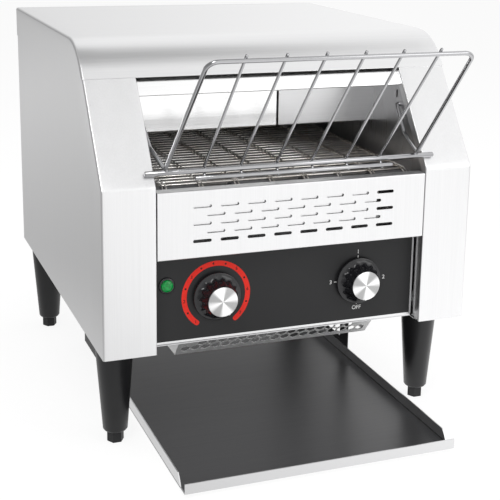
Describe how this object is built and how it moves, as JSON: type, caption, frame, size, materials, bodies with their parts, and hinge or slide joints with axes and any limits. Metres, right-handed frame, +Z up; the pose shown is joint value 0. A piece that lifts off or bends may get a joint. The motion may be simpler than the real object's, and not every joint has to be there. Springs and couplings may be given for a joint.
{
  "type": "conveyor toaster",
  "caption": "Countertop conveyor toaster with a bent sheet casing on tapered feet, a wire feed rack, a flat-flex belt, a control fascia with knobs and a collection tray below.",
  "frame": {"origin": "on the surface the feet stand on, under the centre of the whole object's box", "axes": "+X to the right as seen from the front, +Y from the front to the back, +Z up"},
  "size_m": [0.368, 0.526, 0.3875],
  "materials": {
    "steel": "brushed stainless sheet",
    "plain_steel": "mill-finish sheet",
    "bright_wire": "bright plated wire",
    "belt_wire": "bare stainless wire",
    "shaft_steel": "turned steel",
    "sleeve": "dark heat-resistant coating",
    "knob_black": "satin black phenolic",
    "knob_metal": "radially spun",
    "overlay": "satin dark grey film",
    "foot_black": "semi-gloss black moulded",
    "adjuster": "matt black moulded",
    "pad_rubber": "matt",
    "lamp_green": "translucent green",
    "bezel_dark": "gloss black",
    "quartz": "frosted quartz",
    "ceramic": "unglazed white",
    "motor_metal": "zinc plated",
    "fan_black": "moulded",
    "terminal_white": "moulded nylon",
    "bronze": "sintered bronze"
  },
  "bodies": {
    "casing": {"top_cover": "steel", "side_panel_left": "steel", "side_panel_right": "steel", "rear_panel": "steel", "base_pan": "plain_steel", "inner_wall_left": "steel", "inner_wall_right": "steel", "vented_front_panel": "steel", "slot_backing_plate": "plain_steel", "control_panel": "steel", "control_overlay": "overlay", "control_heat_shield": "plain_steel", "speed_potentiometer": "fan_black", "selector_switch": "fan_black", "lamp_bezel": "bezel_dark", "lamp_lens": "lamp_green", "feed_hood": "steel", "front_baffle_left": "steel", "front_baffle_right": "steel", "upper_reflector": "plain_steel", "lower_reflector": "plain_steel", "discharge_chute": "plain_steel", "heater_tubes_upper": "quartz", "heater_tubes_lower": "quartz", "heater_end_caps": "ceramic", "conveyor_belt": "belt_wire", "shaft_bushes": "bronze", "drive_chain": "shaft_steel", "gear_motor": "motor_metal", "motor_bracket": "plain_steel", "toast_deflector": "steel", "tray_guides": "plain_steel", "foot_bodies": "foot_black", "fan_frame": "fan_black", "fan_guard": "bright_wire", "cable_gland": "fan_black", "terminal_block": "terminal_white", "thermal_cutout": "ceramic", "casing_screws": "shaft_steel"},
    "feed_rack": {"feed_rack": "bright_wire"},
    "collection_tray": {"collection_tray": "steel", "tray_pads": "pad_rubber"},
    "speed_knob": {"speed_knob": "knob_black", "speed_knob_cap": "knob_metal", "speed_shaft": "shaft_steel"},
    "selector_knob": {"selector_knob": "knob_black", "selector_knob_cap": "knob_metal", "selector_shaft": "shaft_steel"},
    "drive": {"drive_shaft": "shaft_steel", "drive_sprockets": "shaft_steel", "drive_gear": "shaft_steel"},
    "idler": {"idler_shaft": "shaft_steel", "idler_sleeves": "sleeve"},
    "motor_sprocket": {"motor_sprocket": "shaft_steel"},
    "fan_rotor": {"fan_rotor": "fan_black"},
    "adjuster_front_left": {"adjuster_front_left": "adjuster"},
    "adjuster_front_right": {"adjuster_front_right": "adjuster"},
    "adjuster_rear_left": {"adjuster_rear_left": "adjuster"},
    "adjuster_rear_right": {"adjuster_rear_right": "adjuster"}
  },
  "joints": [
    {"name": "feed_rack_hinge", "type": "hinge", "parent": "casing", "child": "feed_rack", "pos_m": [0, -0.10025, 0.3098], "axis": [-1, 0, 0], "range_deg": [0, 70]},
    {"name": "tray_slide", "type": "slide", "parent": "casing", "child": "collection_tray", "axis": [0, -1, 0], "range_m": [0, 0.09]},
    {"name": "speed_knob_turn", "type": "hinge", "parent": "casing", "child": "speed_knob", "pos_m": [-0.0723, 0, 0.1473], "axis": [0, 1, 0], "range_deg": [-300, 0]},
    {"name": "selector_turn", "type": "hinge", "parent": "casing", "child": "selector_knob", "pos_m": [0.0723, 0, 0.1473], "axis": [0, 1, 0], "range_deg": [0, 270]},
    {"name": "drive_turn", "type": "hinge", "parent": "casing", "child": "drive", "pos_m": [0, 0.13795, 0.2367], "axis": [1, 0, 0], "continuous": true},
    {"name": "idler_turn", "type": "hinge", "parent": "casing", "child": "idler", "pos_m": [0, -0.13605, 0.2367], "axis": [1, 0, 0], "continuous": true},
    {"name": "motor_turn", "type": "hinge", "parent": "casing", "child": "motor_sprocket", "pos_m": [0, 0.16795, 0.162], "axis": [1, 0, 0], "continuous": true},
    {"name": "fan_spin", "type": "hinge", "parent": "casing", "child": "fan_rotor", "pos_m": [0, 0, 0.222], "axis": [0, 1, 0], "continuous": true},
    {"name": "adjuster_front_left_screw", "type": "slide", "parent": "casing", "child": "adjuster_front_left", "axis": [0, 0, -1], "range_m": [0, 0.012]},
    {"name": "adjuster_rear_left_screw", "type": "slide", "parent": "casing", "child": "adjuster_rear_left", "axis": [0, 0, -1], "range_m": [0, 0.012]},
    {"name": "adjuster_front_right_screw", "type": "slide", "parent": "casing", "child": "adjuster_front_right", "axis": [0, 0, -1], "range_m": [0, 0.012]},
    {"name": "adjuster_rear_right_screw", "type": "slide", "parent": "casing", "child": "adjuster_rear_right", "axis": [0, 0, -1], "range_m": [0, 0.012]}
  ],
  "couplings": [
    {"joint": "idler_turn", "follows": "drive_turn", "ratio": 1},
    {"joint": "motor_turn", "follows": "drive_turn", "ratio": 1.4}
  ]
}
